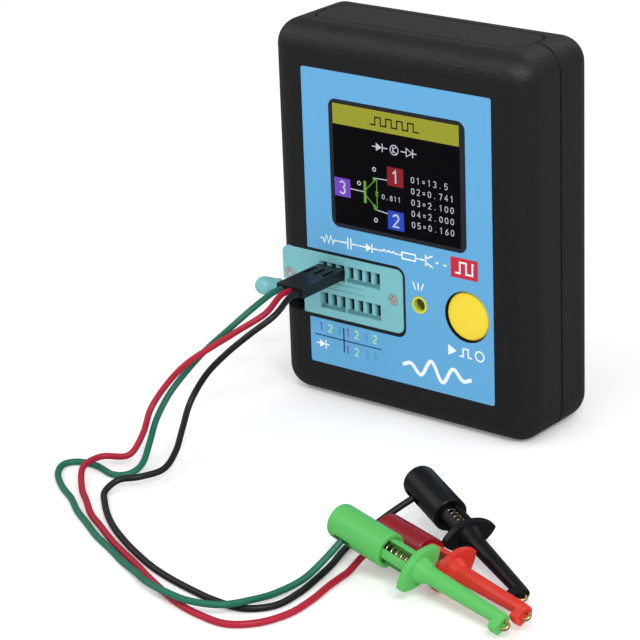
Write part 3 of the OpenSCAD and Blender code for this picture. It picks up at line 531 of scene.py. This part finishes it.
def shade_openings():
    """Paints shade on the test socket's plastic down in the openings over its contacts, darker with depth."""
    tree = MATERIALS["socket_mint"].node_tree
    bsdf = tree.nodes["Principled BSDF"]
    place = tree.nodes.new("ShaderNodeTexCoord")
    split = tree.nodes.new("ShaderNodeSeparateXYZ")
    tree.links.new(place.outputs["Object"], split.inputs[0])
    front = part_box("zif_cover")[0].y
    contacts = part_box("zif_contacts")
    painted_shade_depth = levels(tree, math_node(tree, "SUBTRACT", split.outputs["Y"], front + OPENING_UNSHADED),
                  gain=1 / OPENING_SHADE_FADE, lift=0.0)
    middle = (contacts[0].x + contacts[1].x) / 2
    half = (contacts[1].x - contacts[0].x) / 2 + OPENING_SPAN
    inside = math_node(tree, "LESS_THAN", math_node(tree, "ABSOLUTE", math_node(
        tree, "SUBTRACT", split.outputs["X"], middle)), half)
    mask = math_node(tree, "MULTIPLY", painted_shade_depth, inside)
    plastic = bsdf.inputs["Base Color"].links[0].from_socket
    # painted shade: the socket's mint is mixed towards a dark painted shade colour by the mask
    shaded = mix_colour(tree, mask, plastic, PAINTED_SHADE_COLOUR)
    tree.links.new(shaded, bsdf.inputs["Base Color"])


def dress_nodes():
    """Gives every shown CAD node the material of its slot in the record."""
    for part in frame["record"]["subparts"]:
        node = frame["nodes"][part["node"]]
        node.data.materials.clear()
        node.data.materials.append(MATERIALS[part["material_slot"]])


# ---- mesh helpers

def new_object(name, bm, material):
    """Makes an object of bm, and frees bm."""
    mesh = bpy.data.meshes.new(name)
    bm.to_mesh(mesh)
    bm.free()
    mesh.materials.append(MATERIALS[material])
    obj = bpy.data.objects.new(name, mesh)
    bpy.context.scene.collection.objects.link(obj)
    return obj


def add_piece(name, bm, material, body, smooth=True):
    """Makes a piece of bm that rides on a body and has a finish of the record."""
    bmesh.ops.recalc_face_normals(bm, faces=bm.faces)
    obj = new_object(name, bm, material)
    for face in obj.data.polygons:
        face.use_smooth = smooth
    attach(obj, body)
    return obj


def spline_point(points, i, t):
    """A point of the smooth curve through points, between points i and i + 1."""
    def at(k):
        if k < 0:
            return 2 * points[0] - points[1]
        if k >= len(points):
            return 2 * points[-1] - points[-2]
        return points[k]
    a, b, c, d = at(i - 1), at(i), at(i + 1), at(i + 2)
    return 0.5 * (2 * b + (c - a) * t + (2 * a - 5 * b + 4 * c - d) * t * t
                  + (3 * b - a - 3 * c + d) * t * t * t)


def smooth_line(points, parts):
    line = [spline_point(points, i, k / parts)
            for i in range(len(points) - 1) for k in range(parts)]
    return line + [points[-1]]


def sweep(bm, line, radius, sides):
    """A closed round tube along a line."""
    normal = ASIDE
    rings = []
    for i, point in enumerate(line):
        ahead = (line[min(i + 1, len(line) - 1)] - line[max(i - 1, 0)]).normalized()
        normal = (normal - normal.dot(ahead) * ahead).normalized()
        across = ahead.cross(normal)
        rings.append([bm.verts.new(point + radius * (math.cos(a) * normal + math.sin(a) * across))
                      for a in (2 * math.pi * k / sides for k in range(sides))])
    for low, high in zip(rings, rings[1:]):
        for k in range(sides):
            bm.faces.new((low[k], low[(k + 1) % sides], high[(k + 1) % sides], high[k]))
    bm.faces.new(rings[0])
    bm.faces.new(rings[-1])


# ---- flat artwork on the front

def arc(x, z, r, start, end, steps=10):
    """Points of an arc in the front plane, in millimetres and degrees."""
    angles = [math.radians(start + (end - start) * k / steps) for k in range(steps + 1)]
    return [(x + r * math.cos(a), z + r * math.sin(a)) for a in angles]


# Strokes of each digit in a box one wide and 1.6 high
DIGITS = {
    "0": [arc(0.5, 1.1, 0.42, 0, 180, 8) + arc(0.5, 0.5, 0.42, 180, 360, 8) + [(0.92, 1.1)]],
    "1": [[(0.15, 1.2), (0.55, 1.6), (0.55, 0.0)]],
    "2": [arc(0.5, 1.15, 0.42, 165, -35, 8) + [(0.08, 0.02), (0.96, 0.02)]],
    "3": [arc(0.46, 1.2, 0.38, 150, -80, 8), arc(0.46, 0.42, 0.42, 85, -150, 8)],
    "4": [[(0.72, 0.0), (0.72, 1.6), (0.05, 0.5), (1.0, 0.5)]],
    "5": [[(0.9, 1.58), (0.18, 1.58), (0.12, 0.86)] + arc(0.48, 0.5, 0.46, 125, -145, 8)],
    "6": [[(0.8, 1.6), (0.2, 0.85)] + arc(0.5, 0.46, 0.43, 150, -200, 12)],
    "7": [[(0.06, 1.58), (0.94, 1.58), (0.4, 0.0)]],
    "8": [arc(0.5, 1.19, 0.36, 0, 360, 12), arc(0.5, 0.42, 0.42, 0, 360, 12)],
    ".": [[(0.4, 0.0), (0.4, 0.22)]],
    "=": [[(0.1, 0.55), (0.9, 0.55)], [(0.1, 1.0), (0.9, 1.0)]],
}


class Artwork:
    """Flat strokes and areas in the front plane, drawn in millimetres, that become one mesh."""

    def __init__(self, face):
        self.bm = bmesh.new()
        self.face = face

    def vert(self, x, z):
        return self.bm.verts.new((x * MM, self.face, z * MM))

    def area(self, points):
        self.bm.faces.new([self.vert(x, z) for x, z in points])

    def box(self, x0, z0, x1, z1):
        self.area([(x0, z0), (x1, z0), (x1, z1), (x0, z1)])

    def stroke(self, points, width):
        """A line of even width with mitred bends."""
        points = [Vector(p) for p in points]
        closed = (points[0] - points[-1]).length < 1e-6
        if closed:
            points = points[:-1]
        count = len(points)
        sides = []
        for i, point in enumerate(points):
            before = points[i - 1] if closed or i else None
            after = points[(i + 1) % count] if closed or i < count - 1 else None
            ways = [(b - a).normalized() for a, b in ((before, point), (point, after))
                    if a is not None and b is not None]
            way = sum(ways, Vector((0.0, 0.0))).normalized()
            normal = Vector((-way.y, way.x))
            reach = width / 2 / max(0.55, abs(normal.dot(Vector((-ways[0].y, ways[0].x)))))
            sides.append([self.vert(*(point + s * reach * normal)) for s in (-1, 1)])
        pairs = list(zip(sides, sides[1:] + (sides[:1] if closed else [])))
        for (a, b), (c, d) in pairs:
            self.bm.faces.new((a, b, d, c))

    def strokes(self, lines, x, z, width):
        """Lines of even width whose points are given from x, z."""
        for line in lines:
            self.stroke([(x + u, z + v) for u, v in line], width)

    def ring(self, x, z, r, width):
        self.stroke(arc(x, z, r, 0, 360, 28), width)

    def digits(self, text, x, z, height, width, pitch=None):
        """A row of digits whose lower left corner is at x, z."""
        unit = height / 1.6
        for n, sign in enumerate(text):
            left = x + n * (pitch or unit * 1.35)
            for line in DIGITS.get(sign, []):
                self.stroke([(left + u * unit, z + v * unit) for u, v in line], width)

    def print_on(self, name, material, depth):
        """Raises the drawing by depth towards the front and makes the piece."""
        faces = list(self.bm.faces)
        raised = bmesh.ops.extrude_face_region(self.bm, geom=faces, use_keep_orig=True)
        moved = [v for v in raised["geom"] if isinstance(v, bmesh.types.BMVert)]
        bmesh.ops.translate(self.bm, vec=(0, -depth, 0), verts=moved)
        return add_piece(name, self.bm, material, "case", smooth=False)


# ---- operators

class TESTER_OT_camera(bpy.types.Operator):
    """Make the camera"""

    bl_idname = "tester.camera"
    bl_label = "Camera"

    SENSOR = 36.0
    NEAR, FAR = 0.02, 20.0

    def execute(self, context):
        stage = context.scene.tester_stage
        data = bpy.data.cameras.new("camera")
        data.sensor_width = self.SENSOR
        data.lens = stage.lens
        data.clip_start, data.clip_end = self.NEAR, self.FAR
        camera = bpy.data.objects.new("camera", data)
        context.scene.collection.objects.link(camera)
        turn = (Matrix.Rotation(stage.heading, 4, "Z")
                @ Matrix.Rotation(math.pi / 2 - stage.elevation, 4, "X")
                @ Matrix.Rotation(stage.roll, 4, "Z"))
        camera.matrix_world = Matrix.Translation(stage.place) @ turn
        context.scene.camera = camera
        return {"FINISHED"}


class TESTER_OT_leads(bpy.types.Operator):
    """Run the three wires from their plugs to their clips"""

    bl_idname = "tester.leads"
    bl_label = "Leads"

    PARTS = 8    # pieces that the curve between two route points is cut into

    def execute(self, context):
        sizes = context.scene.tester_leads
        radius = sizes.wire / 2
        for tone in COLOURS:
            route = [Vector(p) for p in ROUTES[tone]]
            plug_end = route[0]
            inside = plug_end + Vector((0.0, sizes.hidden, 0.0))
            line = smooth_line(route, self.PARTS)
            for point in line:
                point.z = max(point.z, radius + FLOOR_GAP)
            line = [inside, (inside + plug_end) / 2] + line
            bm = bmesh.new()
            sweep(bm, line, radius, sizes.sides)
            wire = add_piece("wire_" + tone, bm, "wire_" + tone, "case")
            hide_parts("lead_" + tone)
        return {"FINISHED"}


class TESTER_OT_clips(bpy.types.Operator):
    """Wind the springs of the hook clips"""

    bl_idname = "tester.clips"
    bl_label = "Clips"

    TURN_STEPS = 28     # points of the spring's wire in one turn
    WIRE_SIDES = 10
    ON_ROD = 0.02       # from a clip's rear to a point that its rod has to reach

    def execute(self, context):
        sizes = context.scene.tester_leads
        for tone in COLOURS:
            joint = JOINTS["clip_squeeze_" + tone]
            along = -Vector(joint["axis"]).normalized()
            low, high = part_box("clip_barrel_" + tone)
            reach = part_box("clip_hook_" + tone)
            across = along.orthogonal().normalized()
            over = along.cross(across)
            rear = (low + high) / 2 - along * self.half_barrel(tone, along)
            steps = int(sizes.turns * self.TURN_STEPS)
            helix = []
            for i in range(steps + 1):
                turn = 2 * math.pi * sizes.turns * i / steps
                helix.append(rear + along * (sizes.collar + sizes.spring_length * i / steps)
                             + sizes.spring * (math.cos(turn) * across + math.sin(turn) * over))
            bm = bmesh.new()
            sweep(bm, helix, sizes.spring_wire / 2, self.WIRE_SIDES)
            spring = add_piece("spring_" + tone, bm, "spring_metal", "case")
            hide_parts("clip_spring_" + tone)
            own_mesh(spring)
            middle = rear + along * self.ON_ROD
            if not all(lo < x < hi for lo, x, hi in zip(reach[0], middle, reach[1])):
                raise RuntimeError("the spring of the " + tone + " clip is off its rod")
        return {"FINISHED"}

    def half_barrel(self, tone, along):
        """Half the length of a clip's barrel, from the spread of its points along its axis."""
        points = [v.co.dot(along) for v in frame["nodes"]["clip_barrel_" + tone].data.vertices]
        return (max(points) - min(points)) / 2


class TESTER_OT_label(bpy.types.Operator):
    """Print the label: schematic symbols, contact map, badge and marks"""

    bl_idname = "tester.label"
    bl_label = "Label printing"

    # The layout in millimetres, x to the right and z up in the front plane. A box is its lower
    # left and upper right corners.
    LINE, FINE = 0.36, 0.34
    SYMBOL_ROW = (-21.7, 11.9, 40.25)
    DASH = (13.0, 39.85, 13.9, 40.25)
    RAYS = (5.9, 32.6)
    START = (13.9, 20.2)
    WAVE = (1.0, 20.2, 13.9)
    MAP_DIODE = (-22.1, 13.9, 0.32)
    MAP_LINES = ((-24.3, 15.85, -5.0, 16.15), (-16.05, 13.0, -15.65, 19.1))
    MAP_DIGITS = {"first": ((-23.0, 17.2), (-15.2, 17.2), (-15.4, 12.9)),
                  "second": ((-20.4, 17.2), (-12.7, 17.2), (-7.5, 17.2), (-12.8, 12.9)),
                  "third": ((-17.9, 17.2), (-10.0, 17.2), (-9.9, 12.9), (-7.5, 12.9))}
    DIGIT_HEIGHT = 1.9
    BADGE = (15.0, 37.85, 22.35, 42.65)
    BADGE_PULSE = ((16.2, 39.0), (17.5, 39.0), (17.5, 41.6), (19.2, 41.6), (19.2, 39.0),
                   (20.9, 39.0), (20.9, 41.6), (21.3, 41.6))
    BADGE_LINE = 0.42
    # Strokes of each symbol in the row, from the left end of its own cell
    SYMBOLS = {
        "resistor": [[(0.8, 0)] + [(1.15 + 0.62 * k, 0.95 if k % 2 else -0.95) for k in range(5)]
                     + [(3.98, 0), (4.7, 0)]],
        "capacitor": [[(2.35, -1.35), (2.35, 1.35)], [(3.25, -1.35), (3.25, 1.35)],
                      [(0.8, 0), (2.3, 0)], [(3.3, 0), (4.7, 0)]],
        "diode": [],
        "coil": [arc(1.45 + 1.3 * k, -0.1, 0.44, 180, 0, 8) for k in range(3)],
        "fuse": [[(0.9, -0.75), (4.6, -0.75), (4.6, 0.75), (0.9, 0.75), (0.9, -0.75)]],
        "transistor": [[(0.8, 0), (1.9, 0)], [(3.8, 1.4), (2.0, 0.45)],
                       [(3.8, -1.4), (2.0, -0.45)]],
    }
    THICKER = 1.3      # the transistor's bar against the other lines

    def execute(self, context):
        ink = context.scene.tester_print.ink
        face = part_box("front_label")[0].y - INK_GAP
        white = Artwork(face)
        self.schematic(white, *self.SYMBOL_ROW, self.LINE)
        white.box(*self.DASH)
        self.rays(white, *self.RAYS)
        self.start_mark(white, *self.START)
        self.pulse(white, *self.WAVE)
        self.diode(white, *self.MAP_DIODE)
        white.print_on("print_white", "ink_white", ink)
        navy = Artwork(face)
        for corners in self.MAP_LINES:
            navy.box(*corners)
        navy.print_on("print_navy", "ink_navy", ink)
        badge = Artwork(face)
        badge.box(*self.BADGE)
        badge.print_on("print_badge", "ink_badge", ink)
        mark = Artwork(face - ink)
        mark.stroke(self.BADGE_PULSE, self.BADGE_LINE)
        mark.print_on("print_badge_mark", "ink_white", ink)
        for number, (name, places) in enumerate(self.MAP_DIGITS.items(), 1):
            art = Artwork(face)
            for x, z in places:
                art.digits(str(number), x, z, self.DIGIT_HEIGHT, self.FINE)
            art.print_on("print_digits_" + name, "ink_" + name, ink)
        return {"FINISHED"}

    def schematic(self, art, x0, x1, z, width):
        """A row of circuit symbols joined by short wires."""
        pitch = (x1 - x0) / len(self.SYMBOLS)
        wires = [[(0, 0), (0.8, 0)], [(pitch - 1.0, 0), (pitch - 0.2, 0)]]
        for n, lines in enumerate(self.SYMBOLS.values()):
            art.strokes(wires + lines, x0 + n * pitch, z, width)
        self.diode(art, x0 + 2 * pitch + 2.8, z, width)
        art.strokes([[(1.9, -1.3), (1.9, 1.3)]], x0 + 5 * pitch, z, width * self.THICKER)

    def diode(self, art, x, z, width):
        art.area([(x - 0.9, z - 1.0), (x + 0.7, z), (x - 0.9, z + 1.0)])
        art.stroke([(x + 0.85, z - 1.05), (x + 0.85, z + 1.05)], width)
        art.stroke([(x - 1.9, z), (x - 0.9, z)], width)
        art.stroke([(x + 0.9, z), (x + 1.8, z)], width)

    def rays(self, art, x, z):
        """Three rays falling on the receiver."""
        for lean in (-1, 0, 1):
            foot = Vector((x + 0.75 * lean, z + 0.15))
            tip = Vector((x + 1.5 * lean, z + 1.9))
            art.stroke([foot, tip], self.FINE)

    def start_mark(self, art, x, z):
        """A triangle for start, a short pulse and a ring."""
        art.area([(x, z - 1.35), (x + 2.3, z), (x, z + 1.35)])
        art.stroke([(x + 3.1, z - 0.95), (x + 4.1, z - 0.95), (x + 4.1, z + 0.95),
                    (x + 5.5, z + 0.95), (x + 5.5, z - 0.95), (x + 6.5, z - 0.95)], self.LINE)
        art.ring(x + 8.6, z, 1.15, self.LINE)

    def pulse(self, art, x0, x1, z):
        """A broad wave of three periods that fades towards both ends."""
        steps, height, width = 96, 2.3, 0.9
        wave = []
        for k in range(steps + 1):
            run = math.pi * k / steps
            wave.append((x0 + k * (x1 - x0) / steps,
                         z + height * math.sin(run) * math.sin(6 * run)))
        art.stroke(wave, width)


class TESTER_OT_display(bpy.types.Operator):
    """Light the display: title bar, tested part, its contacts and a list of readings"""

    bl_idname = "tester.display"
    bl_label = "Display"

    # The layout in millimetres, as on the label
    PANEL = (-17.05, 44.75, 17.95, 73.25)
    BAR = (-16.95, 68.35, 17.85, 73.15)
    TRACE = (-6.5, 7.1, 69.75, 71.55, 0.34)
    SYMBOL_BOXES = ((-8.7, 50.9, -8.0, 56.1), (-5.5, 53.15, -4.5, 53.35),
                    (-6.0, 56.6, -5.2, 57.4), (-5.9, 49.7, -5.1, 50.4))
    SYMBOL_LINES = (((-8.0, 54.2), (-5.6, 56.6)), ((-8.0, 52.6), (-5.6, 50.4)),
                    ((-5.0, 50.2), (-5.0, 56.9)))
    SYMBOL_ARROWS = (((-5.5, 54.1), (-4.5, 54.1), (-5.0, 53.35)),
                     ((-5.2, 50.0), (-6.3, 50.5), (-5.7, 51.1)))
    PIN_BOXES = {"violet": (-17.0, 51.3, "3"), "crimson": (-2.0, 56.2, "1"),
                 "blue": (-2.1, 45.9, "2")}
    PIN_WIDTH, PIN_HEIGHT = 4.5, 4.4
    PIN_LINES = (((-12.5, 53.55), (-8.7, 53.5)), ((-5.2, 57.2), (-2.0, 57.35)),
                 ((-5.1, 49.75), (-2.1, 49.45)))
    PIN_RINGS = ((-10.0, 55.3), (-5.6, 59.3), (-5.5, 47.3))
    GREEN_LINE, PIN_LINE, RING_RADIUS, RING_LINE = 0.2, 0.22, 0.42, 0.24
    GAIN = ("0.811", -3.6, 52.65)
    # The kind of part under test: its place, then each line's width and points from there
    KIND_ROW = (-6.0, 64.7)
    KIND_LINES = (
        (0.24, [(0, 0), (1.1, 0)]), (0.26, [(2.85, -1.0), (2.85, 1.0)]),
        (0.24, [(2.9, 0), (4.3, 0)]), (0.26, [(5.8, -0.65), (5.8, 0.65)]),
        (0.2, [(5.85, 0.2), (6.7, 0.75)]), (0.2, [(5.85, -0.2), (6.7, -0.75)]),
        (0.24, [(8.0, 0), (9.4, 0)]), (0.22, [(9.5, 0.95), (11.1, 0), (9.5, -0.95), (9.5, 0.95)]),
        (0.26, [(11.25, -1.0), (11.25, 1.0)]), (0.24, [(11.3, 0), (12.3, 0)]))
    READINGS = ("01=13.5", "02=0.741", "03=2.100", "04=2.000", "05=0.160")
    READINGS_LEFT, READINGS_TOP, READINGS_PITCH = 4.6, 57.85, 2.62

    def execute(self, context):
        layer = context.scene.tester_print.ink
        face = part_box("display_window")[0].y - INK_GAP
        dark = Artwork(face)
        dark.box(*self.PANEL)
        dark.print_on("screen_panel", "screen_off", layer)
        bar = Artwork(face - layer)
        bar.box(*self.BAR)
        bar.print_on("screen_bar", "screen_bar", layer)
        title = Artwork(face - 2 * layer)
        self.steps(title, *self.TRACE)
        title.print_on("screen_title", "screen_dark", layer)
        green = Artwork(face - layer)
        for corners in self.SYMBOL_BOXES:
            green.box(*corners)
        for line in self.SYMBOL_LINES:
            green.stroke(line, self.GREEN_LINE)
        for arrow in self.SYMBOL_ARROWS:
            green.area(arrow)
        green.print_on("screen_symbol", "screen_green", layer)
        white = Artwork(face - 2 * layer)
        for name, (x, z, digit) in self.PIN_BOXES.items():
            art = Artwork(face - layer)
            art.box(x, z, x + self.PIN_WIDTH, z + self.PIN_HEIGHT)
            art.print_on("screen_box_" + name, "screen_" + name, layer)
            white.digits(digit, x + 1.35, z + 0.75, height=2.9, width=0.42)
        for line in self.PIN_LINES:
            white.stroke(line, self.PIN_LINE)
        for x, z in self.PIN_RINGS:
            white.ring(x, z, self.RING_RADIUS, self.RING_LINE)
        self.symbols(white, *self.KIND_ROW)
        white.digits(*self.GAIN, height=1.15, width=0.16, pitch=1.12)
        for n, row in enumerate(self.READINGS):
            white.digits(row, self.READINGS_LEFT, self.READINGS_TOP - n * self.READINGS_PITCH,
                         height=1.4, width=0.18, pitch=1.52)
        white.print_on("screen_text", "screen_white", layer)
        return {"FINISHED"}

    def steps(self, art, x0, x1, z0, z1, width):
        """A stepped trace that fills the title bar."""
        count = 9
        wide = (x1 - x0) / count
        line = [(x0, z0)]
        for k in range(count):
            level = z1 if k % 2 else z0
            line += [(x0 + k * wide, level), (x0 + (k + 1) * wide, level)]
        art.stroke([p for i, p in enumerate(line) if i == 0 or p != line[i - 1]], width)

    def symbols(self, art, x, z):
        """The kind of part under test, as symbols in a row."""
        for width, line in self.KIND_LINES:
            art.strokes([line], x, z, width)
        art.area([(x + 1.1, z - 0.95), (x + 2.7, z), (x + 1.1, z + 0.95)])
        art.ring(x + 6.15, z, 1.1, self.RING_LINE)


class TESTER_OT_case(bpy.types.Operator):
    """Round the crisp edges of the moulded parts"""

    bl_idname = "tester.case"
    bl_label = "Moulded parts"

    # Edge radius in millimetres of the nodes whose edges are moulded round
    EDGES = {"zif_cover": 0.14, "display_window": 0.1, "front_label": 0.03,
             "top_end_panel": 0.2, "bottom_end_panel": 0.2,
             "plug_housing_green": 0.18, "plug_housing_red": 0.18, "plug_housing_black": 0.18}

    WELD = 0.002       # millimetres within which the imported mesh's points are joined
    SHARP = 40         # degrees from which an edge is rounded

    def execute(self, context):
        for name, radius in self.EDGES.items():
            node = frame["nodes"][name]
            weld = node.modifiers.new("weld", "WELD")
            weld.merge_threshold = self.WELD * MM
            bevel = node.modifiers.new("round", "BEVEL")
            bevel.width = radius * MM
            bevel.segments = 2
            bevel.limit_method = "ANGLE"
            bevel.angle_limit = math.radians(self.SHARP)
            bevel.miter_outer = "MITER_ARC"
            bevel.use_clamp_overlap = True
        return {"FINISHED"}


class TESTER_OT_finish(bpy.types.Operator):
    """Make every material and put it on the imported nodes"""

    bl_idname = "tester.finish"
    bl_label = "Finishes"

    def execute(self, context):
        make_materials(context)
        shade_openings()
        dress_nodes()
        return {"FINISHED"}


class TESTER_OT_stage(bpy.types.Operator):
    """Lay the pale floor and set the soft lights"""

    bl_idname = "tester.stage"
    bl_label = "Stage"

    # Each lamp's place and side in metres, and the setting that gives its power
    LAMPS = {"key": ((-0.15, -0.75, 0.95), 0.8, "key"),
             "fill_right": ((0.9, 0.1, 0.6), 0.6, "fill"),
             "fill_left": ((-0.8, -0.3, 0.55), 0.6, "fill"),
             "back": ((0.1, 0.8, 0.9), 0.7, "fill"),
             "glint_high": ((0.5, -0.62, 0.72), 0.14, "glint"),
             "glint_side": ((0.66, -0.46, 0.66), 0.14, "glint")}
    FLOOR_SIZE = 2.4
    FLOOR_DROP = 0.00003
    # The floor's colour in glossy rays only, a painted darker reflection of it
    FLOOR_REFLECTED = (0.22, 0.22, 0.22, 1.0)
    FLOOR_GLOW = 0.17

    def execute(self, context):
        stage = context.scene.tester_stage
        bm = bmesh.new()
        bmesh.ops.create_grid(bm, x_segments=8, y_segments=8, size=self.FLOOR_SIZE)
        bmesh.ops.translate(bm, vec=(0, 0, -self.FLOOR_DROP), verts=bm.verts)
        tree, bsdf = shader("floor")
        paper = placed(tree, "mottle", Color=(*stage.floor, 1.0), Amount=0.012, Scale=30.0)
        # Painted reflection: glossy rays see the floor in a darker grey than its own colour, and its glow follows
        paths = tree.nodes.new("ShaderNodeLightPath")
        floor_or_painted_reflection = mix_colour(tree, paths.outputs["Is Glossy Ray"], paper.outputs["Color"],
                          self.FLOOR_REFLECTED)
        tree.links.new(floor_or_painted_reflection, bsdf.inputs["Base Color"])
        tree.links.new(floor_or_painted_reflection, bsdf.inputs["Emission Color"])
        set_sockets(bsdf, {"Emission Strength": self.FLOOR_GLOW, "Roughness": 0.75,
                           "Specular IOR Level": 0.1})
        new_object("floor", bm, "floor")
        world = bpy.data.worlds.new("studio")
        context.scene.world = world
        world.use_nodes = True
        sky = world.node_tree.nodes["Background"]
        sky.inputs["Color"].default_value = (1.0, 1.0, 1.0, 1.0)
        paths = world.node_tree.nodes.new("ShaderNodeLightPath")
        level = math_node(world.node_tree, "MULTIPLY_ADD", paths.outputs["Is Glossy Ray"],
                          stage.sheen - stage.sky, stage.sky)
        world.node_tree.links.new(level, sky.inputs["Strength"])
        for name, (place, size, power) in self.LAMPS.items():
            self.light(context, name, place, size, getattr(stage, power))
        context.scene.view_settings.view_transform = "Standard"
        return {"FINISHED"}

    def light(self, context, name, place, size, power):
        """A square soft light aimed at the middle of the part."""
        low, high = cad_box
        data = bpy.data.lights.new(name, "AREA")
        data.size = size
        data.energy = power
        lamp = bpy.data.objects.new(name, data)
        context.scene.collection.objects.link(lamp)
        lamp.location = place
        way = (low + high) / 2 - Vector(place)
        lamp.rotation_euler = way.to_track_quat("-Z", "Y").to_euler()


class TESTER_PT_panel(bpy.types.Panel):
    """Lists the steps that build the looks"""

    bl_idname = "TESTER_PT_panel"
    bl_label = "Component tester"
    bl_space_type = "VIEW_3D"
    bl_region_type = "UI"
    bl_category = "Tester"

    def draw(self, context):
        for name in STEPS:
            self.layout.operator("tester." + name)
        for name, group in GROUPS.items():
            box = self.layout.box()
            for field in group.__annotations__:
                box.prop(getattr(context.scene, name), field)


STEPS = ("finish", "camera", "leads", "clips", "label", "display", "case", "stage")
CLASSES = (*GROUPS.values(), TESTER_OT_finish, TESTER_OT_camera, TESTER_OT_leads,
           TESTER_OT_clips, TESTER_OT_label, TESTER_OT_display, TESTER_OT_case,
           TESTER_OT_stage, TESTER_PT_panel)


def register():
    for cls in CLASSES:
        bpy.utils.register_class(cls)
    for name, group in GROUPS.items():
        setattr(bpy.types.Scene, name, PointerProperty(type=group))


def unregister():
    for name in GROUPS:
        delattr(bpy.types.Scene, name)
    for cls in reversed(CLASSES):
        bpy.utils.unregister_class(cls)


def main():
    register()
    for name in STEPS:
        getattr(bpy.ops.tester, name)()


if __name__ == "__main__":
    main()
